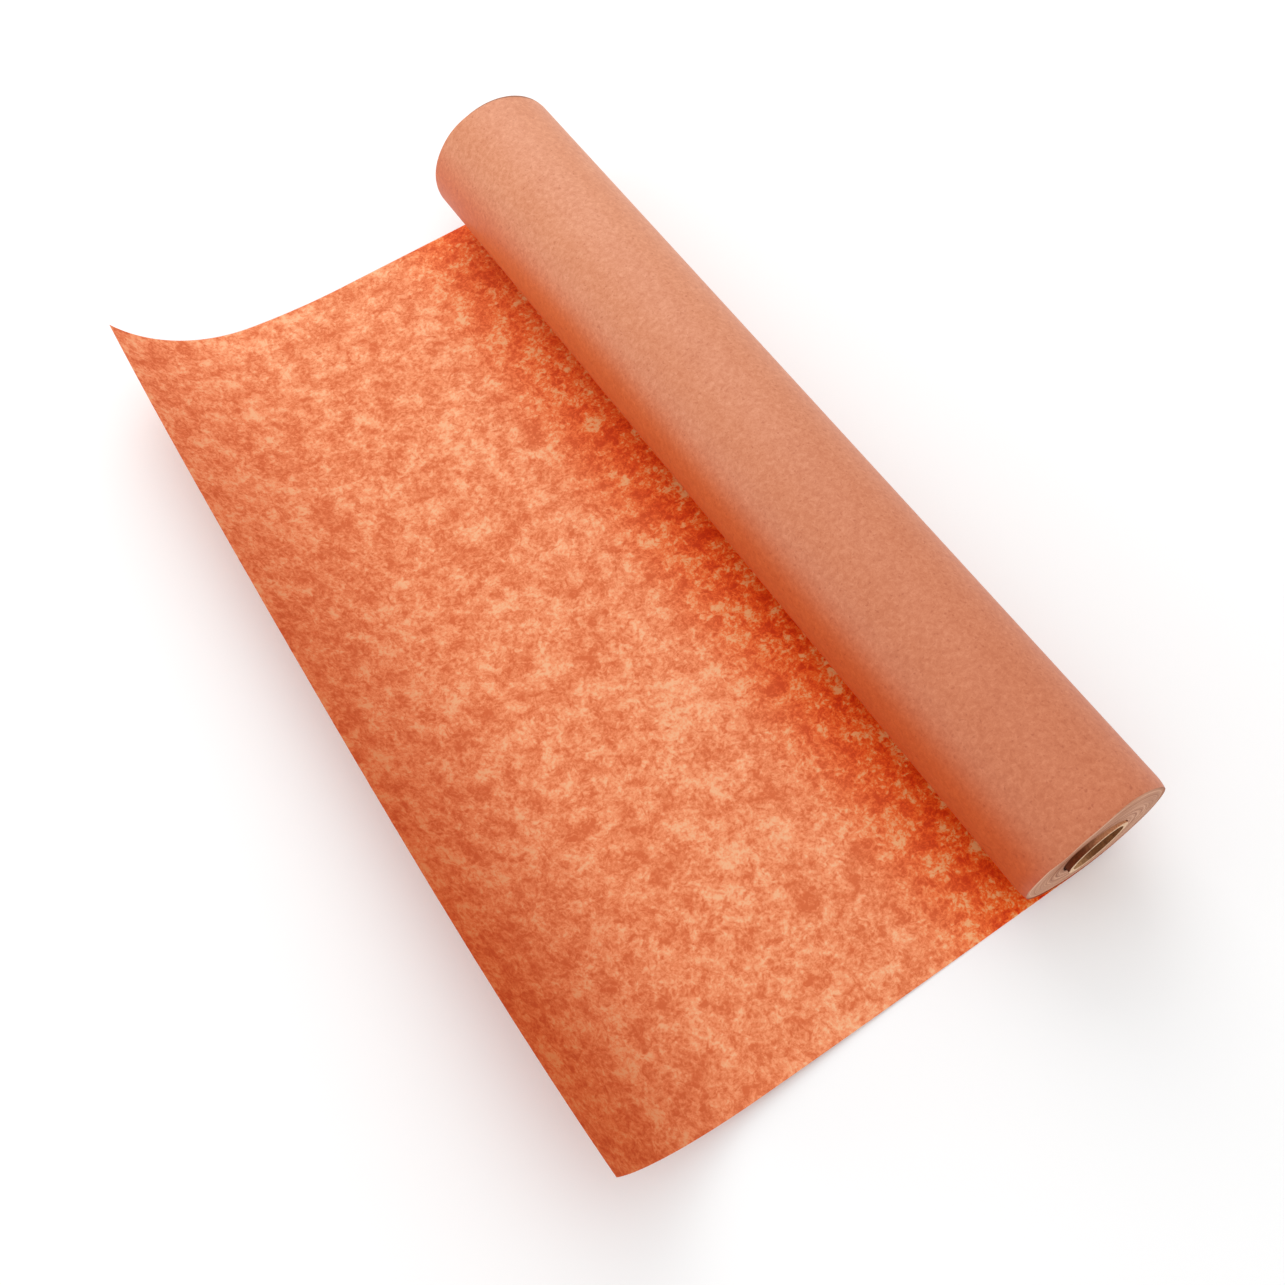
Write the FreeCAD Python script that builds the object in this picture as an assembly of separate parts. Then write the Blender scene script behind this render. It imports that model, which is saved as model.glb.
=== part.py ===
import FreeCAD, Part
import math
import os

# A roll of paper on a spiral-wound paperboard core, lying on a flat surface with its free end
# drawn out and curling up. All sizes are in millimetres and all angles in degrees.
# The roll's axis is +Y through the origin, which is the middle of the core's bore. +Z is up.
# The web leaves the roll at its lowest line and runs towards -X.

# Driving dimensions: the wound roll
web_width = 457.2           # an 18 inch web
roll_radius = 35.0          # over the outermost turn
web_thickness = 0.2
turn_clearance = 0.2        # between the outermost turn and the turns wound below it
winding_hollow_radius = 16.1    # the first turn lies a little loose round the core

# Driving dimensions: the core
bore_radius = 12.7          # a 1 inch bore
ply_thickness = 0.5
glue_film = 0.1             # between one ply and the next
core_overhang = 1.0         # the core stands proud of the winding at each end
ply_names = ("core_liner_ply", "core_inner_body_ply", "core_outer_body_ply", "core_face_ply")

# Driving dimensions: the adhesive line that holds the first turn
glue_line_angle = 20.0
glue_line_inset = 8.0       # from each end of the winding
glue_line_clearance = 0.1

# Driving dimensions: the web that is off the roll
lead_gap = 4.0              # the lead starts this far from the line where the web leaves the roll
lead_end = 170.0            # the lead's far end, under the curl
sheet_start = 48.0          # the laid-out sheet's end that laps over the lead
lap_clearance = 0.1         # between the lead and the sheet that laps over it
table_z = -roll_radius

# The sheet's run at its two side edges and in its middle: how far from the roll it stays flat, then
# the length and turn of its gentle lift, then the length and turn of its curled end.
near_run = {"flat": 85.0, "lift": (74.0, 5.0), "curl": (88.0, 69.0)}
middle_run = {"flat": 91.0, "lift": (65.0, 7.0), "curl": (78.0, 42.0)}
far_run = {"flat": 97.0, "lift": (55.0, 9.0), "curl": (80.0, 54.0)}

Y_AXIS = FreeCAD.Vector(0, 1, 0)


def tube(inner_radius, outer_radius, length):
    """A tube round the Y axis, with its middle at the origin."""
    end = FreeCAD.Vector(0, -length / 2, 0)
    outer = Part.makeCylinder(outer_radius, length, end, Y_AXIS)
    inner = Part.makeCylinder(inner_radius, length, end, Y_AXIS)
    return outer.cut(inner)


def core_plies():
    """The core's plies from the liner outwards, by node name."""
    plies = {}
    inner_radius = bore_radius
    for name in ply_names:
        outer_radius = inner_radius + ply_thickness
        plies[name] = tube(inner_radius, outer_radius, web_width + 2 * core_overhang)
        inner_radius = outer_radius + glue_film
    return plies


def core_outer_radius():
    """Radius over the face ply."""
    return bore_radius + len(ply_names) * ply_thickness + (len(ply_names) - 1) * glue_film


def start_glue_line():
    """A band of adhesive along the bottom of the core, inside the first turn."""
    inner_radius = core_outer_radius() + glue_line_clearance
    outer_radius = winding_hollow_radius - glue_line_clearance
    length = web_width - 2 * glue_line_inset
    edges = (-glue_line_angle / 2, 0.0, glue_line_angle / 2)

    def from_bottom(radius, angle):
        swing = math.radians(angle)
        return FreeCAD.Vector(radius * math.sin(swing), -length / 2, -radius * math.cos(swing))

    inner = [from_bottom(inner_radius, angle) for angle in edges]
    outer = [from_bottom(outer_radius, angle) for angle in reversed(edges)]
    outline = Part.Wire([
        Part.Arc(*inner).toShape(),
        Part.makeLine(inner[-1], outer[0]),
        Part.Arc(*outer).toShape(),
        Part.makeLine(outer[-1], inner[0]),
    ])
    return Part.Face(outline).extrude(FreeCAD.Vector(0, length, 0))


def wound_web():
    """Every turn below the outermost one, as one body of paper."""
    return tube(winding_hollow_radius, roll_radius - web_thickness - turn_clearance, web_width)


def outer_turn():
    """The outermost turn, which touches the table along the line where the web leaves it."""
    return tube(roll_radius - web_thickness, roll_radius, web_width)


def web_lead():
    """The flat strip that has just left the roll. It slides out from under the sheet."""
    corner = FreeCAD.Vector(-lead_end, -web_width / 2, table_z)
    return Part.makeBox(lead_end - lead_gap, web_width, web_thickness, corner)


def up_normal(heading):
    """The upward normal of the sheet where it climbs at this angle towards -X."""
    climb = math.radians(heading)
    return FreeCAD.Vector(math.sin(climb), 0, math.cos(climb))


def bend(foot, heading, length, turn):
    """Arcs of the sheet's underside and upper face, and where they leave it: foot and heading."""
    radius = length / math.radians(turn)
    centre = foot + up_normal(heading) * radius
    headings = (heading, heading + turn / 2, heading + turn)
    under = [centre - up_normal(h) * radius for h in headings]
    upper = [centre - up_normal(h) * (radius - web_thickness) for h in headings]
    return Part.Arc(*under).toShape(), Part.Arc(*reversed(upper)).toShape(), under[-1], headings[-1]


def sheet_section(y, run):
    """The closed outline of the laid-out sheet at one place along the roll."""
    base_z = table_z + web_thickness + lap_clearance
    thick = FreeCAD.Vector(0, 0, web_thickness)
    start = FreeCAD.Vector(-sheet_start, y, base_z)
    flat_end = FreeCAD.Vector(-run["flat"], y, base_z)
    lift_under, lift_upper, foot, heading = bend(flat_end, 0.0, *run["lift"])
    curl_under, curl_upper, foot, heading = bend(foot, heading, *run["curl"])
    tip = foot + up_normal(heading) * web_thickness
    return Part.Wire([
        Part.makeLine(start, flat_end),
        lift_under,
        curl_under,
        Part.makeLine(foot, tip),
        curl_upper,
        lift_upper,
        Part.makeLine(flat_end + thick, start + thick),
        Part.makeLine(start + thick, start),
    ])


def unrolled_sheet():
    """The free length of the web: flat near the roll, curled up most at its two corners."""
    sections = [
        sheet_section(-web_width / 2, near_run),
        sheet_section(0.0, middle_run),
        sheet_section(web_width / 2, far_run),
    ]
    return Part.makeLoft(sections, True, True)


os.makedirs("parts", exist_ok=True)
shapes = {
    "unrolled_sheet": unrolled_sheet(),
    "web_lead": web_lead(),
    "outer_turn": outer_turn(),
    "wound_web": wound_web(),
    "start_glue_line": start_glue_line(),
}
shapes.update(core_plies())
for name, shape in shapes.items():
    shape.exportStep(f"parts/{name}.step")
    print(f"{name}: {shape.Volume:.0f} mm3, valid {shape.isValid()}, solids {len(shape.Solids)}")
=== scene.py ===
"""A roll of fibrous copper-coloured paper on a spiral-wound paperboard core, partly unrolled on a table.

Everything is in metres in the frame's own axes: the roll's axis is +Y, +Z is up, and the free end of
the web points to -X.
"""
import math

import bmesh
import bpy
from mathutils import Matrix, Vector, noise


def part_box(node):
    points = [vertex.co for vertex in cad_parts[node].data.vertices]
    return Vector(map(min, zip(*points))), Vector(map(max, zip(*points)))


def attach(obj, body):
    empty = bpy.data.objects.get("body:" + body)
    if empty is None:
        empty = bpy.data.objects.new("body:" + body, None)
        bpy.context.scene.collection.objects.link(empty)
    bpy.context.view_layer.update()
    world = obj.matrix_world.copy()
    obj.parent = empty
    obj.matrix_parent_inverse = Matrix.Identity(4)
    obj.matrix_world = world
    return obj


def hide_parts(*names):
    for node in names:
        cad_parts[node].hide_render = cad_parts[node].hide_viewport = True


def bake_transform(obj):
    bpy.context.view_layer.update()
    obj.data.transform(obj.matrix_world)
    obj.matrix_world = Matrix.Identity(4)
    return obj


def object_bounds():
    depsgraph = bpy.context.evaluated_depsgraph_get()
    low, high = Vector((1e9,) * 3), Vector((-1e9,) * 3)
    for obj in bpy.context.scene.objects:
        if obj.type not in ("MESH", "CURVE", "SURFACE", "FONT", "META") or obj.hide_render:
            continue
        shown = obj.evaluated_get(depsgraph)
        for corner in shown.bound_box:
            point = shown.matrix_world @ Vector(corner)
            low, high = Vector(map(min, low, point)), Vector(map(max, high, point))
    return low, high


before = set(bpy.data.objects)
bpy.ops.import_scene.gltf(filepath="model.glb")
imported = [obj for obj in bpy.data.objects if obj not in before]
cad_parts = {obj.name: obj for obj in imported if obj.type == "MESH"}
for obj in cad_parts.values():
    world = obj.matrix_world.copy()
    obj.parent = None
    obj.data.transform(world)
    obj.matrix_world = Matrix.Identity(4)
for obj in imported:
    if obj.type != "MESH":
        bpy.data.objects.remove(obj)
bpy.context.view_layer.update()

MM = 0.001
PAPER = 0.1 * MM

# The roll, from the frame
TABLE_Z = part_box("outer_turn")[0].z
ROLL_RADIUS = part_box("outer_turn")[1].z
HALF_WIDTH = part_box("outer_turn")[1].y
WINDING_RADIUS = ROLL_RADIUS - 2.4 * PAPER
CORE_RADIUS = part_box("core_face_ply")[1].z
CORE_HALF_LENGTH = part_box("core_face_ply")[1].y
HOLLOW_RADIUS = CORE_RADIUS + 0.75 * MM
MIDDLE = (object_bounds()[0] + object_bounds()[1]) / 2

# How far the web goes on under its own outermost turn, past one full turn
TUCK = math.radians(24.0)

# The sheet's run at its near edge, its middle and its far edge: how far it stays flat, then the
# length and the turn of its gentle lift, then the length and the turn of its curled end.
RUNS = {
    "flat": (85.0 * MM, 91.0 * MM, 97.0 * MM),
    "lift_length": (74.0 * MM, 65.0 * MM, 55.0 * MM),
    "lift_turn": (math.radians(5.0), math.radians(7.0), math.radians(9.0)),
    "curl_length": (88.0 * MM, 77.0 * MM, 79.0 * MM),
    "curl_turn": (math.radians(69.0), math.radians(42.0), math.radians(54.0)),
}

# How much painted shade deepens the sheet's colour beside the roll, and how much where its end curls
# up, at its near edge, its middle and its far edge
ROLL_SHADE_DEPTH = (1.0, 0.98, 0.72)
CURL_SHADE_DEPTH = (0.94, 0.86, 0.25)

# Where this painted shade sets in and where it's full: a distance from the roll, the angle at which
# the sheet climbs, and for the roll's own side an angle in degrees from its top.
ROLL_SHADE_RANGE = (82.0 * MM, 18.0 * MM)
CURL_SHADE_RANGE = (math.radians(-12.0), math.radians(60.0))
NIP_SHADE_RANGE = (-42.0, -78.0)

# Handling has rounded off the roll's near end, over this length and to this depth at the corner.
WORN_LENGTH = 6.0 * MM
WORN_DEPTH = 0.9 * MM

# The side of the core, as an angle from +X towards the top, on which the inner turns have slipped
# back, and how far off the core's middle the winding sits.
SLIPPED_SIDE = math.radians(140.0)
OFF_CENTRE = 0.55 * MM

# The strips of the core: how far each one advances in a turn, how thick it is, how much further round
# it starts than the one inside it, the width of its seam, the size of its softened edges, and how much
# of the glue film outside it a strip fills, unless it's the outermost.
PLY_PITCH = 88.0 * MM
PLY_THICKNESS = 0.5 * MM
PLY_STAGGER = 1.1
PLY_SEAM = 0.25 * MM
PLY_SOFT = 0.12 * MM
PLY_OVERLAP = 0.06 * MM

# The slope along X of the saw cut at the near end (-Y) and the far end (+Y) of the core, and how far
# beyond the core's own end the middle of the cut is.
CUT_SKEW = {-1: 0.045, 1: 0.0}
CUT_SHIFT = {-1: 0.25 * MM, 1: 0.0}


def put(mesh_name, vertices, faces, smooth=True):
    """A new object with this mesh, in the scene."""
    mesh = bpy.data.meshes.new(mesh_name)
    mesh.from_pydata(vertices, [], faces)
    mesh.update()
    for polygon in mesh.polygons:
        polygon.use_smooth = smooth
    mesh.set_sharp_from_angle(angle=math.radians(35.0))
    piece = bpy.data.objects.new(mesh_name, mesh)
    bpy.context.scene.collection.objects.link(piece)
    return piece


def through(values, share):
    """The parabola through three values, at this share of the way from the first to the last."""
    first, middle, last = values
    return (
        first * (1 - share) * (1 - 2 * share)
        + middle * 4 * share * (1 - share)
        + last * share * (2 * share - 1)
    )


def smoothstep(low, high, value):
    """How far the value has gone from low to high, from 0 to 1 and smoothly."""
    share = min(1.0, max(0.0, (value - low) / (high - low)))
    return share * share * (3 - 2 * share)


# ---------------------------------------------------------------- materials


def new_material(name):
    """A node material, with its node tree and its Principled shader."""
    material = bpy.data.materials.new(name)
    material.use_nodes = True
    tree = material.node_tree
    return material, tree, tree.nodes["Principled BSDF"]


def node(tree, kind, inputs=None, **settings):
    """A shader node whose inputs are set to values or linked to sockets."""
    made = tree.nodes.new("ShaderNode" + kind)
    for name, value in settings.items():
        setattr(made, name, value)
    for key, value in (inputs or {}).items():
        if isinstance(value, bpy.types.NodeSocket):
            tree.links.new(value, made.inputs[key])
        else:
            made.inputs[key].default_value = value
    return made


def maths(tree, operation, first, second=0.0):
    """What a Math node makes of one or two values."""
    return node(tree, "Math", {0: first, 1: second}, operation=operation).outputs[0]


def reach(tree, value, start, end):
    """The same as smoothstep, of a value in a material."""
    ranged = node(tree, "MapRange", {0: value, 1: start, 2: end}, interpolation_type="SMOOTHSTEP")
    return ranged.outputs[0]


def painted(tree, name):
    """The values that the mesh carries under this name."""
    return node(tree, "Attribute", attribute_name=name).outputs["Fac"]


def object_place(tree):
    return node(tree, "TexCoord").outputs["Object"]


def object_axis(tree, place, axis):
    return node(tree, "SeparateXYZ", {0: place}).outputs[axis]


def cloud(tree, place, scale, detail=2.0, roughness=0.5, distortion=0.0):
    """Noise between 0 and 1 with this many features to the metre."""
    inputs = {"Vector": place, "Scale": scale, "Detail": detail}
    inputs.update({"Roughness": roughness, "Distortion": distortion})
    return node(tree, "TexNoise", inputs).outputs[0]


def density_ramp(tree, density, base, pull, spread):
    """A colour that deepens with the paper's density, each channel at its own rate."""
    ramp = node(tree, "ValToRGB", {"Fac": density})
    elements = ramp.color_ramp.elements
    stops = 7
    while len(elements) < stops:
        elements.new(0.5)
    for i in range(stops):
        share = i / (stops - 1)
        swing = (2 * share - 1) * spread
        colour = [min(1.0, b * math.exp(swing * k)) for b, k in zip(base, pull)]
        elements[i].position = share
        elements[i].color = (*colour, 1.0)
    return ramp.outputs["Color"]


def blend_colour(tree, factor, first, second, mode="MIX"):
    """The first colour where the factor is 0, going over to the second where it is 1."""
    mixed = node(tree, "Mix", {0: factor, 6: first, 7: second}, data_type="RGBA", blend_type=mode)
    return mixed.outputs[2]


def tint(tree, factor, colour, shade):
    """The colour, multiplied by the shade where the factor is 1."""
    return blend_colour(tree, factor, colour, (*shade, 1.0), "MULTIPLY")


def bump(tree, shader, height, strength, distance):
    """Gives the shader a surface that stands up with this height."""
    inputs = {"Height": height, "Strength": strength, "Distance": distance}
    made = node(tree, "Bump", inputs)
    tree.links.new(made.outputs["Normal"], shader.inputs["Normal"])


def finish_shader(tree, shader, colour, roughness, specular=None):
    tree.links.new(colour, shader.inputs["Base Color"])
    shader.inputs["Roughness"].default_value = roughness
    if specular is not None:
        shader.inputs["Specular IOR Level"].default_value = specular


def weighed(tree, *parts):
    """A half, plus each (value, its middle, weight) part's swing about its middle times its weight."""
    total = 0.5
    for value, middle, weight in parts:
        swing = maths(tree, "MULTIPLY", maths(tree, "SUBTRACT", value, middle), weight)
        total = maths(tree, "ADD", swing, total)
    return total


def formation(tree, place):
    """How the fibres of the paper lie, from 0 where they are thin to 1 where they are dense."""
    clouds = cloud(tree, place, scale=95.0, detail=5.0, roughness=0.8, distortion=0.25)
    drifts = cloud(tree, place, scale=18.0, roughness=0.6, distortion=0.2)
    fuzz = cloud(tree, place, scale=480.0, roughness=0.7, distortion=0.5)
    strands = cloud(tree, place, scale=230.0, distortion=1.2)
    folds = maths(tree, "ABSOLUTE", maths(tree, "SUBTRACT", strands, 0.5))
    return weighed(tree, (clouds, 0.5, 3.2), (drifts, 0.5, 0.5), (fuzz, 0.5, 1.2), (folds, 0.07, 2.0))


def fibre_bump(tree, shader, place, strength):
    """The fine felted surface of the paper."""
    felt = cloud(tree, place, scale=900.0, detail=3.0, roughness=0.65, distortion=0.8)
    bump(tree, shader, felt, strength, distance=0.06 * MM)


def sheet_material():
    """One layer of paper over a pale table: light comes through it where its fibres are thin. Painted
    shade deepens it close to the roll and where the sheet curls up off the table."""
    material, tree, shader = new_material("paper_single_layer")
    place = object_place(tree)
    dense = formation(tree, place)
    open_colour = density_ramp(
        tree, dense, base=(0.93, 0.315, 0.138), pull=(-0.33, -1.0, -1.42), spread=0.56)
    # The colour of the painted shade beside the roll; the thinnest fibres stay open in it.
    roll_shade_colour = density_ramp(
        tree, dense, base=(1.0, 0.128, 0.0095), pull=(-0.30, -1.25, -2.8), spread=1.0)
    painted_roll_shade = painted(tree, "painted_roll_shade")
    painted_curl_shade = painted(tree, "painted_curl_shade")
    cover = reach(tree, dense, 0.08, 0.40)
    # Painted shade beside the roll: the deeper colour where the fibres are dense, then a warmer tint.
    colour = blend_colour(tree, maths(tree, "MULTIPLY", painted_roll_shade, cover), open_colour, roll_shade_colour)
    colour = tint(tree, painted_roll_shade, colour, (1.0, 0.91, 0.63))
    # Painted shade where the sheet's end curls up.
    colour = tint(tree, painted_curl_shade, colour, (0.65, 0.355, 0.20))
    finish_shader(tree, shader, colour, roughness=0.75, specular=0.15)
    fibre_bump(tree, shader, place, strength=0.25)
    through_light = node(tree, "BsdfTranslucent", {"Color": colour})
    light_share = 0.18
    mixed = node(tree, "MixShader", {0: light_share, 1: shader.outputs[0], 2: through_light.outputs[0]})
    tree.links.new(mixed.outputs[0], tree.nodes["Material Output"].inputs["Surface"])
    return material


def roll_material():
    """The outside of the roll: many layers of the same paper, so duller and much more even. Painted
    shade deepens it low on the -X side, beside the sheet, and slowly darkens it towards the near end."""
    material, tree, shader = new_material("paper_on_roll")
    place = object_place(tree)
    specks = cloud(tree, place, scale=420.0, detail=4.0, roughness=0.8, distortion=0.4)
    clouds = cloud(tree, place, scale=40.0, detail=3.0, roughness=0.6)
    dense = weighed(tree, (specks, 0.5, 2.6), (clouds, 0.5, 0.35))
    colour = density_ramp(
        tree, dense, base=(0.63, 0.233, 0.110), pull=(-0.45, -0.95, -1.45), spread=0.28)
    flecks = reach(tree, cloud(tree, place, scale=650.0, detail=1.0), 0.64, 0.76)
    colour = tint(tree, flecks, colour, (0.86, 0.74, 0.66))
    # Painted shade low on the -X side, where the roll meets the sheet.
    painted_nip_shade = painted(tree, "painted_roll_shade")
    colour = tint(tree, painted_nip_shade, colour, (0.95, 0.58, 0.30))
    # Painted shade, slowly darker towards the near end.
    painted_end_shade = reach(tree, object_axis(tree, place, "Y"), 0.19, -0.27)
    colour = tint(tree, painted_end_shade, colour, (0.835, 0.63, 0.51))
    finish_shader(tree, shader, colour, roughness=0.50, specular=0.52)
    fibre_bump(tree, shader, place, strength=0.18)
    return material


def edge_material():
    """The cut edges of the wound turns, seen at the ends of the roll, with painted shade in the recess by
    the core.
    """
    material, tree, shader = new_material("paper_edges")
    place = object_place(tree)
    x, _, z = node(tree, "SeparateXYZ", {0: place}).outputs
    squares = [maths(tree, "MULTIPLY", axis, axis) for axis in (x, z)]
    radius = maths(tree, "SQRT", maths(tree, "ADD", *squares))
    angle = maths(tree, "ARCTAN2", z, x)
    turns = maths(tree, "ADD", maths(tree, "DIVIDE", radius, PAPER),
                  maths(tree, "DIVIDE", angle, 2 * math.pi))
    bands, layers = (
        node(tree, "TexNoise", {"W": turns, "Scale": scale, "Detail": 3.0, "Roughness": 0.7},
             noise_dimensions="1D").outputs[0]
        for scale in (0.07, 0.35)
    )
    patches = cloud(tree, place, scale=60.0, detail=3.0, roughness=0.6)
    mix = weighed(tree, (bands, 0.5, 1.5), (layers, 0.5, 1.3), (patches, 0.5, 0.4))
    colour = density_ramp(tree, mix, base=(0.53, 0.27, 0.172), pull=(-0.7, -1.0, -1.15), spread=0.65)
    # Painted shade in the recess where the inner turns have slipped back beside the core.
    colour = tint(tree, painted(tree, "painted_dish_shade"), colour, (0.58, 0.38, 0.27))
    finish_shader(tree, shader, colour, roughness=0.85, specular=0.2)
    bump(tree, shader, layers, strength=0.5, distance=0.12 * MM)
    return material


def board_material(name, base, spread, scale, shade=(1.0, 1.0, 1.0), shade_along=(0.0, 10.0 * MM)):
    """Recycled paperboard, mottled with its fibres and flecks, and darkened by painted shade to one side
    along X.
    """
    material, tree, shader = new_material(name)
    place = object_place(tree)
    fibres = cloud(tree, place, scale, detail=4.0, roughness=0.75, distortion=1.5)
    flecks = cloud(tree, place, scale=1500.0)
    mix = weighed(tree, (fibres, 0.5, 1.4), (flecks, 0.5, 0.8))
    colour = density_ramp(tree, mix, base, pull=(-0.8, -1.0, -1.1), spread=spread)
    # Painted shade, darker to one side along X.
    shaded = reach(tree, object_axis(tree, place, "X"), *shade_along)
    colour = tint(tree, shaded, colour, shade)
    finish_shader(tree, shader, colour, roughness=0.88, specular=0.2)
    bump(tree, shader, mix, strength=0.35, distance=0.1 * MM)
    return material


def adhesive_material():
    """Dried glue, a little glossy and uneven."""
    material, tree, shader = new_material("dried_glue")
    place = object_place(tree)
    streaks = cloud(tree, place, scale=160.0, detail=3.0, roughness=0.6, distortion=0.6)
    colour = density_ramp(tree, streaks, base=(0.62, 0.50, 0.26), pull=(0.5, 0.7, 1.0), spread=0.5)
    finish_shader(tree, shader, colour, roughness=0.35)
    bump(tree, shader, streaks, strength=0.4, distance=0.2 * MM)
    return material


def floor_material():
    material, _, shader = new_material("pale_floor")
    shader.inputs["Base Color"].default_value = (0.92, 0.92, 0.92, 1.0)
    shader.inputs["Roughness"].default_value = 0.9
    shader.inputs["Specular IOR Level"].default_value = 0.1
    return material


# ---------------------------------------------------------------- the web


def sheet_profile(distance, run):
    """Where the sheet's underside is at this distance from the roll: x, height and climb angle."""
    flat, lift_length, lift_turn = run["flat"], run["lift_length"], run["lift_turn"]
    if distance <= flat:
        return -distance, 0.0, 0.0
    lift_radius = lift_length / lift_turn
    angle = min(distance - flat, lift_length) / lift_radius
    x = -flat - lift_radius * math.sin(angle)
    height = lift_radius * (1 - math.cos(angle))
    if distance <= flat + lift_length:
        return x, height, angle
    curl_radius = run["curl_length"] / run["curl_turn"]
    climb = lift_turn + (distance - flat - lift_length) / curl_radius
    x -= curl_radius * (math.sin(climb) - math.sin(lift_turn))
    height += curl_radius * (math.cos(lift_turn) - math.cos(climb))
    return x, height, climb


def cockle(distance, y):
    """How far the laid-out sheet stands off the table where it isn't quite flat."""
    swell = noise.noise(Vector((distance * 9.0, y * 7.0, 3.7)))
    ripple = noise.noise(Vector((distance * 30.0, y * 22.0, 9.1)))
    swell_height, ripple_height = 0.9 * MM, 0.18 * MM
    free = smoothstep(20 * MM, 110 * MM, distance)
    return free * (swell_height * (0.5 + 0.5 * swell) + ripple_height * (0.5 + 0.5 * ripple))


# How far the outermost turn's edge stands out from the roll's flat end, at angles from the top of the
# roll towards +X, at its near end (-Y) and its far end (+Y).
EDGE_WANDER = {
    -1: ((-180, 0.0), (-100, -0.4), (-62, 0.0), (-44, 0.7), (-22, 0.2), (18, -1.3), (60, -0.7), (180, 0.0)),
    1: ((-180, 0.0), (-85, 0.6), (-45, 0.0), (0, -1.3), (35, -2.4), (75, -1.4), (180, 0.0)),
}


def edge_wander(from_top, side):
    """How far the outermost turn's edge stands out, at this angle in degrees from the top."""
    stops = EDGE_WANDER[side]
    for (low, before), (high, after) in zip(stops, stops[1:]):
        if low <= from_top <= high:
            return MM * (before + (after - before) * smoothstep(low, high, from_top))
    return 0.0


def worn_corner(y):
    """How far handling has rounded off the corner at the near end of the roll."""
    along = max(0.0, 1.0 - (y + HALF_WIDTH) / WORN_LENGTH)
    return WORN_DEPTH * along**2


def across_places(steps):
    """Places from one edge of the web to the other, closer together near the edges."""
    edge_steps = [step * MM for step in (0.6, 1.3, 2.3, 3.6, 5.2, 7.2)]
    inner = HALF_WIDTH - 10.0 * MM
    places = [-HALF_WIDTH] + [step - HALF_WIDTH for step in edge_steps]
    places += [inner * (2 * i / steps - 1) for i in range(steps + 1)]
    places += [HALF_WIDTH - step for step in reversed(edge_steps)] + [HALF_WIDTH]
    return places


def web_rows():
    """The web from its free end to the tuck under the outermost turn, as shares of the sheet's
    length counting down to 0 at the roll, and then as angles round the roll."""
    sheet_rows, turn_rows = 150, 208
    shares = [1 - i / sheet_rows for i in range(sheet_rows + 1)]
    angles = [(2 * math.pi + TUCK) * (i + 1) / turn_rows for i in range(turn_rows)]
    return shares, angles


def sheet_point(y, share_along):
    """A point on the free sheet's outer face, the way to its inner face, its distance from the roll,
    how much painted shade it gets beside the roll and how much where it has curled up."""
    share_across = (y / HALF_WIDTH + 1) / 2
    run = {name: through(values, share_across) for name, values in RUNS.items()}
    length = run["flat"] + run["lift_length"] + run["curl_length"]
    raggedness = 0.12 * MM * smoothstep(0.97, 1.0, share_along)
    ragged = raggedness * noise.noise(Vector((y * 160.0, 0.0, 5.0)))
    distance = share_along * length
    x, height, climb = sheet_profile(distance + ragged, run)
    inward = Vector((math.sin(climb), 0.0, math.cos(climb)))
    lifted = TABLE_Z + height + cockle(distance, y)
    # Painted shade beside the roll.
    painted_roll_shade = smoothstep(*ROLL_SHADE_RANGE, distance) * through(ROLL_SHADE_DEPTH, share_across)
    # Painted shade where the sheet's end curls up off the table.
    painted_curl_shade = smoothstep(*CURL_SHADE_RANGE, climb) if climb > 0 else 0.0
    painted_curl_shade *= through(CURL_SHADE_DEPTH, share_across)
    return Vector((x, y, lifted)), inward, distance, painted_roll_shade, painted_curl_shade


def turn_point(y, angle):
    """The same for a point on the outermost turn, at this angle from the bottom of the roll. Its
    distance is negative, and it gets painted shade low on the roll's -X side, beside the sheet."""
    side = 1 if y > 0 else -1
    from_top = (360.0 - math.degrees(angle)) % 360.0 - 180.0
    clear_of_table = smoothstep(165.0, 130.0, abs(from_top))
    along = y + side * edge_wander(from_top, side) * smoothstep(0.9, 1.0, abs(y) / HALF_WIDTH)
    radius = ROLL_RADIUS - PAPER * angle / (2 * math.pi) - worn_corner(along) * clear_of_table
    outward = Vector((math.sin(angle), 0.0, -math.cos(angle)))
    # Painted shade of the nip, low on the -X side.
    painted_nip_shade = smoothstep(*NIP_SHADE_RANGE, from_top)
    return outward * radius + Vector((0.0, along, 0.0)), -outward, -radius * angle, painted_nip_shade, 0.0


def layer_faces(deep, wide):
    """The faces of a thin layer: a grid of deep by wide points on its outer face, then the same
    grid on its inner face, and its four edges."""
    count = deep * wide
    faces = []
    for row in range(deep - 1):
        for column in range(wide - 1):
            a = row * wide + column
            b, c, d = a + 1, a + wide + 1, a + wide
            faces.append((a, d, c, b))
            faces.append((a + count, b + count, c + count, d + count))
    for row in range(deep - 1):
        for a in (row * wide, row * wide + wide - 1):
            d = a + wide
            loop = (a, a + count, d + count, d)
            faces.append(loop if a % wide == 0 else loop[::-1])
    for row in (0, deep - 1):
        for column in range(wide - 1):
            a = row * wide + column
            loop = (a, a + 1, a + 1 + count, a + count)
            faces.append(loop if row == 0 else loop[::-1])
    return faces


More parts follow.
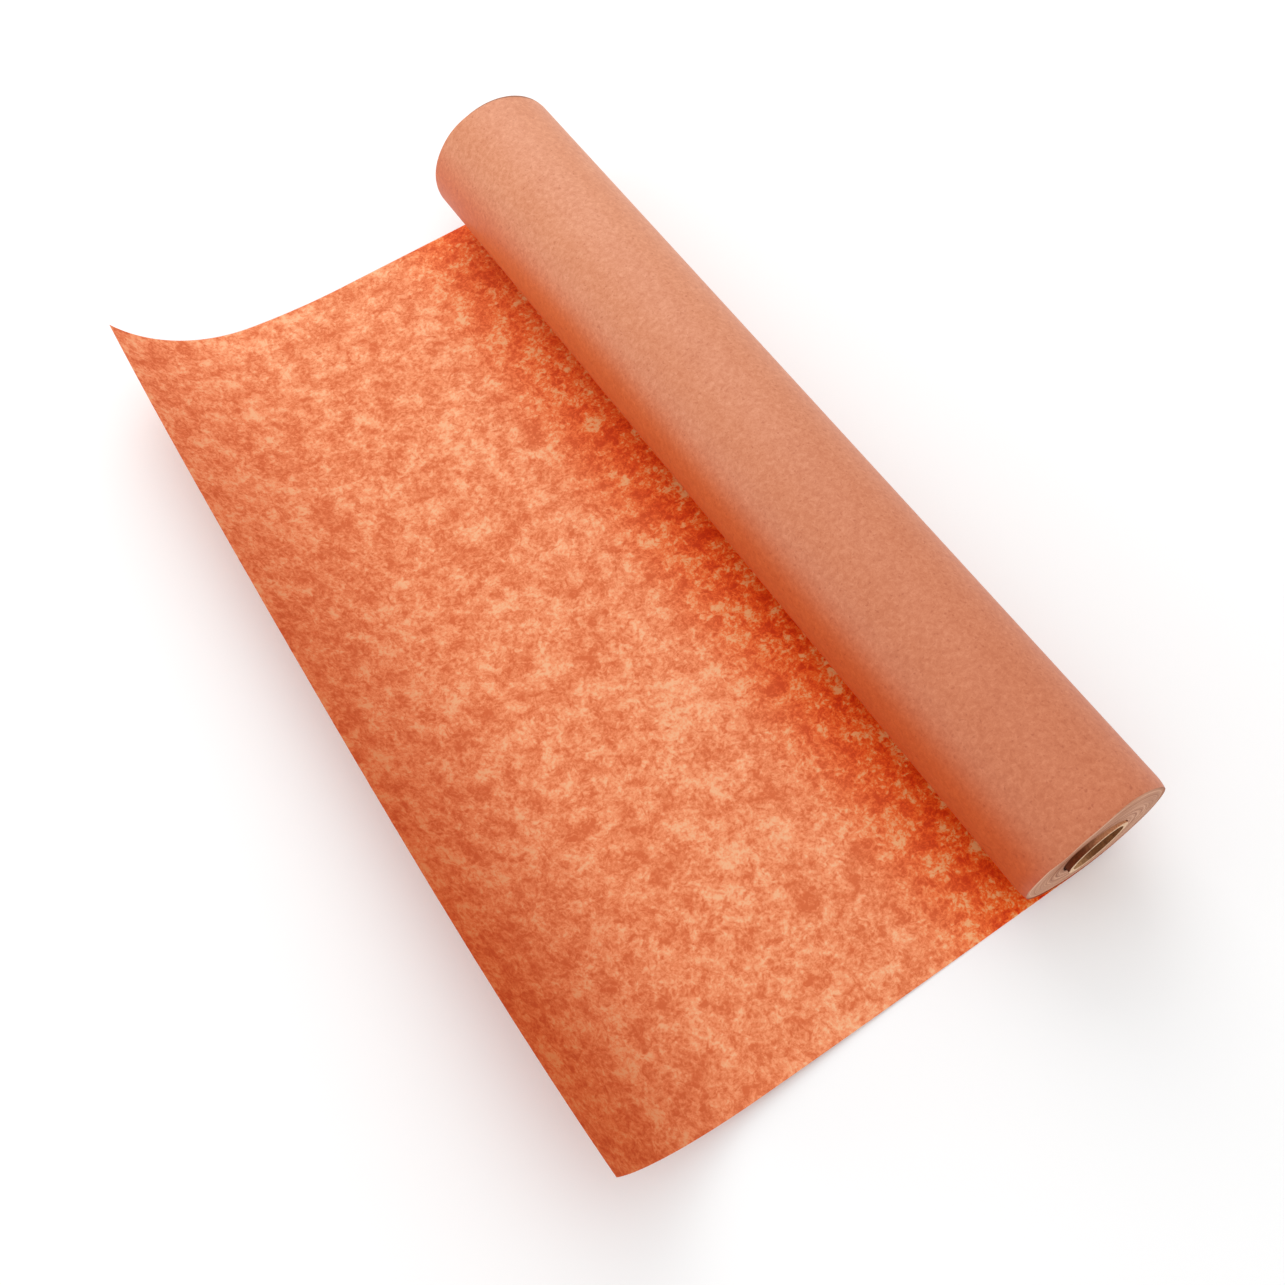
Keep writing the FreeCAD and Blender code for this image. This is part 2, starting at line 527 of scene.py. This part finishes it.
def build_web():
    """The free sheet and the outermost turn: one continuous layer of paper."""
    places = across_places(112)
    shares, angles = web_rows()
    rows = [[sheet_point(y, share) for y in places] for share in shares]
    rows += [[turn_point(y, angle) for y in places] for angle in angles]
    outer, inward, distances, painted_roll_shade, painted_curl_shade = zip(*(entry for row in rows for entry in row))
    inner = [point + way * PAPER for point, way in zip(outer, inward)]
    count = len(outer)
    web = put("paper_web", list(outer) + inner, layer_faces(len(rows), len(places)))
    # The painted shade, carried on the mesh for the sheet's and the roll's materials.
    for name, values in (("painted_roll_shade", painted_roll_shade), ("painted_curl_shade", painted_curl_shade)):
        attribute = web.data.attributes.new(name, "FLOAT", "POINT")
        attribute.data.foreach_set("value", values + values)
    web.data.materials.append(sheet_material())
    web.data.materials.append(roll_material())
    for polygon in web.data.polygons:
        if all(distances[v % count] <= 0.0 for v in polygon.vertices):
            polygon.material_index = 1
    return web


# ---------------------------------------------------------------- the wound turns


def hollow_radius(angle):
    """The winding sits a little off the core's middle, so it stands away from the core on one side."""
    away = angle - SLIPPED_SIDE
    return math.sqrt(HOLLOW_RADIUS**2 - (OFF_CENTRE * math.sin(away)) ** 2) + OFF_CENTRE * math.cos(away)


def dished(angle):
    """How much the inner turns have slipped back round the core, from 0 to 1 on the slipped side."""
    return (0.5 + 0.5 * math.cos(angle - SLIPPED_SIDE)) ** 4


def end_height(share, angle, side):
    """How far the wound turns' edges stand out from the roll's flat end, at this share of the way
    out from the hollow and this angle from +X towards the top."""
    round_x, round_z = math.cos(angle), math.sin(angle)
    bands = 12.0
    turn = bands * share + angle / (2 * math.pi)
    band = noise.noise(Vector((turn * 1.1, 0.35 * round_x, 0.35 * round_z + 7.0 * side)))
    fine = noise.noise(Vector((turn * 5.0, 0.6 * round_x, 0.6 * round_z + 3.0 * side)))
    dish = dished(angle) * smoothstep(0.36, 0.0, share)
    from_top = (90.0 - math.degrees(angle) + 180.0) % 360.0 - 180.0
    shoulder = edge_wander(from_top, side) * smoothstep(0.72, 1.0, share)
    rounding = smoothstep(0.86, 1.0, share) ** 2
    return MM * (0.24 * band + 0.09 * fine - 0.6 * dish - 0.4 * rounding) + shoulder


def winding_profile():
    """The winding's outline as rows of (share of the way out from the hollow, y, end or 0)."""
    rings = 110
    outward = [ring / rings for ring in range(rings + 1)]
    along = across_places(24)
    near = [(share, -HALF_WIDTH, -1) for share in outward]
    outside = [(1.0, y, 0) for y in along[1:-1]]
    far = [(share, HALF_WIDTH, 1) for share in reversed(outward)]
    inside = [(0.0, y, 0) for y in reversed(along[1:-1])]
    return near + outside + far + inside


def ring_faces(rings, around):
    """The faces of a closed surface made of closed rings of points, the last joined to the first."""
    faces = []
    for i in range(rings):
        following = (i + 1) % rings
        for spoke in range(around):
            beside = (spoke + 1) % around
            faces.append((i * around + spoke, i * around + beside,
                          following * around + beside, following * around + spoke))
    return faces


def build_winding():
    """Every turn below the outermost one, with the uneven spiral of its edges at both ends."""
    around = 300
    profile = winding_profile()
    vertices, painted_dish_shade = [], []
    for share, place, side in profile:
        for spoke in range(around):
            angle = 2 * math.pi * spoke / around
            hollow = hollow_radius(angle)
            radius = hollow + (WINDING_RADIUS - worn_corner(place) - hollow) * share
            y = place + side * end_height(share, angle, side) if side else place
            vertices.append((radius * math.cos(angle), y, radius * math.sin(angle)))
            # How much painted shade the recess beside the core gets.
            painted_dish_shade.append(dished(angle) * smoothstep(0.75, 0.28, share))
    winding = put("wound_turns", vertices, ring_faces(len(profile), around))
    winding.data.attributes.new("painted_dish_shade", "FLOAT", "POINT").data.foreach_set("value", painted_dish_shade)
    winding.data.materials.append(edge_material())
    return winding


# ---------------------------------------------------------------- the core


def strip_section(inner_radius, outer_radius):
    """The outline of a strip's section, as (along the core, radius), with softened edges."""
    start, end = PLY_SEAM / 2, PLY_PITCH - PLY_SEAM / 2
    third = PLY_PITCH / 3
    return [
        (start + PLY_SOFT, inner_radius), (third, inner_radius), (2 * third, inner_radius),
        (end - PLY_SOFT, inner_radius), (end, inner_radius + PLY_SOFT),
        (end, outer_radius - PLY_SOFT), (end - PLY_SOFT, outer_radius),
        (2 * third, outer_radius), (third, outer_radius), (start + PLY_SOFT, outer_radius),
        (start, outer_radius - PLY_SOFT), (start, inner_radius + PLY_SOFT),
    ]


def build_ply(name, inner_radius, outer_radius, start_angle, material, end_material):
    """One strip of paperboard wound in a helix, its edges butted together, and cut off at both ends."""
    steps = 72
    turns = math.ceil(2 * CORE_HALF_LENGTH / PLY_PITCH) + 2
    section = strip_section(inner_radius, outer_radius)
    vertices, faces = [], []
    size = len(section)
    for step in range(turns * steps + 1):
        angle = start_angle + 2 * math.pi * step / steps
        base = -CORE_HALF_LENGTH - PLY_PITCH + PLY_PITCH * step / steps
        for across, radius in section:
            vertices.append((radius * math.cos(angle), base + across, radius * math.sin(angle)))
        if step:
            first = (step - 1) * size
            for i in range(size):
                j = (i + 1) % size
                faces.append((first + i, first + j, first + size + j, first + size + i))
    faces.append(tuple(reversed(range(size))))
    faces.append(tuple(range(turns * steps * size, (turns * steps + 1) * size)))
    ply = put(name, vertices, faces, smooth=False)
    cut_to_length(ply.data)
    ply.data.materials.append(material)
    ply.data.materials.append(end_material)
    for polygon in ply.data.polygons:
        at_end = abs(polygon.center.y) > CORE_HALF_LENGTH - 1.0 * MM and abs(polygon.normal.y) > 0.9
        polygon.material_index = 1 if at_end else 0
    return ply


def cut_to_length(mesh):
    """Cuts a core ply off at both of the core's ends, and closes the cuts."""
    work = bmesh.new()
    work.from_mesh(mesh)
    bmesh.ops.recalc_face_normals(work, faces=work.faces[:])
    for side in (-1, 1):
        everything = work.verts[:] + work.edges[:] + work.faces[:]
        middle = side * (CORE_HALF_LENGTH + CUT_SHIFT[side])
        plane = {"plane_co": (0.0, middle, 0.0), "plane_no": (CUT_SKEW[side], side, 0.0)}
        cut = bmesh.ops.bisect_plane(work, geom=everything, clear_outer=True, dist=1e-7, **plane)
        rim = [e for e in cut["geom_cut"] if isinstance(e, bmesh.types.BMEdge)]
        bmesh.ops.holes_fill(work, edges=rim, sides=0)
    bmesh.ops.triangulate(work, faces=[f for f in work.faces if len(f.verts) > 4])
    bmesh.ops.recalc_face_normals(work, faces=work.faces[:])
    work.to_mesh(mesh)
    work.free()
    for polygon in mesh.polygons:
        polygon.use_smooth = abs(polygon.normal.y) < 0.5


def build_core():
    """The core's four plies. Each is a strip wound a little further round than the one inside it."""
    # Painted shade: the board's side darkens towards -X, in the gap beside the winding, and the liner
    # towards +X, deep in the bore.
    board = board_material("core_board", (0.60, 0.26, 0.125), spread=0.5, scale=420.0,
                           shade=(0.26, 0.12, 0.05), shade_along=(1 * MM, -13 * MM))
    liner = board_material("core_liner", (0.60, 0.32, 0.15), spread=0.6, scale=420.0,
                           shade=(0.42, 0.30, 0.22), shade_along=(-7 * MM, 3 * MM))
    board_end = board_material("core_board_end", (0.74, 0.49, 0.31), spread=0.6, scale=700.0)
    names = ("core_liner_ply", "core_inner_body_ply", "core_outer_body_ply", "core_face_ply")
    for i, name in enumerate(names):
        outer_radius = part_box(name)[1].z
        inner_radius = outer_radius - PLY_THICKNESS
        if i < len(names) - 1:
            outer_radius += PLY_OVERLAP
        ply = build_ply(name.replace("_ply", "_strip"), inner_radius, outer_radius,
                        PLY_STAGGER * i, liner if i == 0 else board, board_end)
        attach(ply, "roll")
        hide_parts(name)


# ---------------------------------------------------------------- the stage


def add_floor():
    """A plain pale floor just under the sheet."""
    half = 6.0
    z = TABLE_Z - 0.05 * MM
    corners = [(-half, -half, z), (half, -half, z), (half, half, z), (-half, half, z)]
    floor = put("floor", corners, [(0, 1, 2, 3)], smooth=False)
    floor.data.materials.append(floor_material())


def add_area_light(name, azimuth, elevation, distance, size, power):
    """A square soft light pointing at the middle of the object. The azimuth goes from +Y to +X."""
    data = bpy.data.lights.new(name, "AREA")
    data.shape = "SQUARE"
    data.size = size
    data.energy = power
    light = bpy.data.objects.new(name, data)
    turn, rise = math.radians(azimuth), math.radians(elevation)
    towards = Vector((math.sin(turn) * math.cos(rise), math.cos(turn) * math.cos(rise), math.sin(rise)))
    light.location = MIDDLE + towards * distance
    light.rotation_mode = "QUATERNION"
    light.rotation_quaternion = towards.to_track_quat("Z", "Y")
    bpy.context.scene.collection.objects.link(light)


def add_lights():
    """An even white room, and three large soft lights."""
    world = bpy.data.worlds.new("soft_room")
    world.use_nodes = True
    background = world.node_tree.nodes["Background"]
    background.inputs["Color"].default_value = (1.0, 1.0, 1.0, 1.0)
    background.inputs["Strength"].default_value = 0.92
    bpy.context.scene.world = world
    add_area_light("overhead_softbox", azimuth=0.0, elevation=88.0, distance=1.6, size=1.4, power=2.0)
    add_area_light("back_softbox", azimuth=20.0, elevation=38.0, distance=1.5, size=1.2, power=7.0)
    add_area_light("left_softbox", azimuth=-63.0, elevation=17.0, distance=1.5, size=0.8, power=2.6)


def add_camera():
    """Looks down on the table from beyond the sheet's near corner, a little rolled to one side."""
    azimuth = math.radians(-29.12)
    elevation = math.radians(62.5)
    lean = math.radians(-5.21)
    distance = 0.642
    aim = Vector((MIDDLE.x + 7.2 * MM, MIDDLE.y - 36.9 * MM, TABLE_Z))
    back = Vector((math.sin(azimuth) * math.cos(elevation),
                   -math.cos(azimuth) * math.cos(elevation), math.sin(elevation)))
    level = Vector((math.cos(azimuth), math.sin(azimuth), 0.0))
    upright = back.cross(level)
    right = level * math.cos(lean) + upright * math.sin(lean)
    up = upright * math.cos(lean) - level * math.sin(lean)
    data = bpy.data.cameras.new("camera")
    data.sensor_width = 36.0
    data.lens = 39.71
    camera = bpy.data.objects.new("camera", data)
    bpy.context.scene.collection.objects.link(camera)
    turned = Matrix((right, up, back)).transposed()
    camera.matrix_world = Matrix.Translation(aim + back * distance) @ turned.to_4x4()
    bpy.context.scene.camera = camera


add_camera()
add_floor()
add_lights()
bpy.context.scene.view_settings.view_transform = "Standard"

web = build_web()
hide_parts("unrolled_sheet", "web_lead", "outer_turn")
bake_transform(web)

winding = build_winding()
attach(winding, "roll")
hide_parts("wound_web")

build_core()

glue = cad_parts["start_glue_line"]
glue.data.materials.clear()
glue.data.materials.append(adhesive_material())
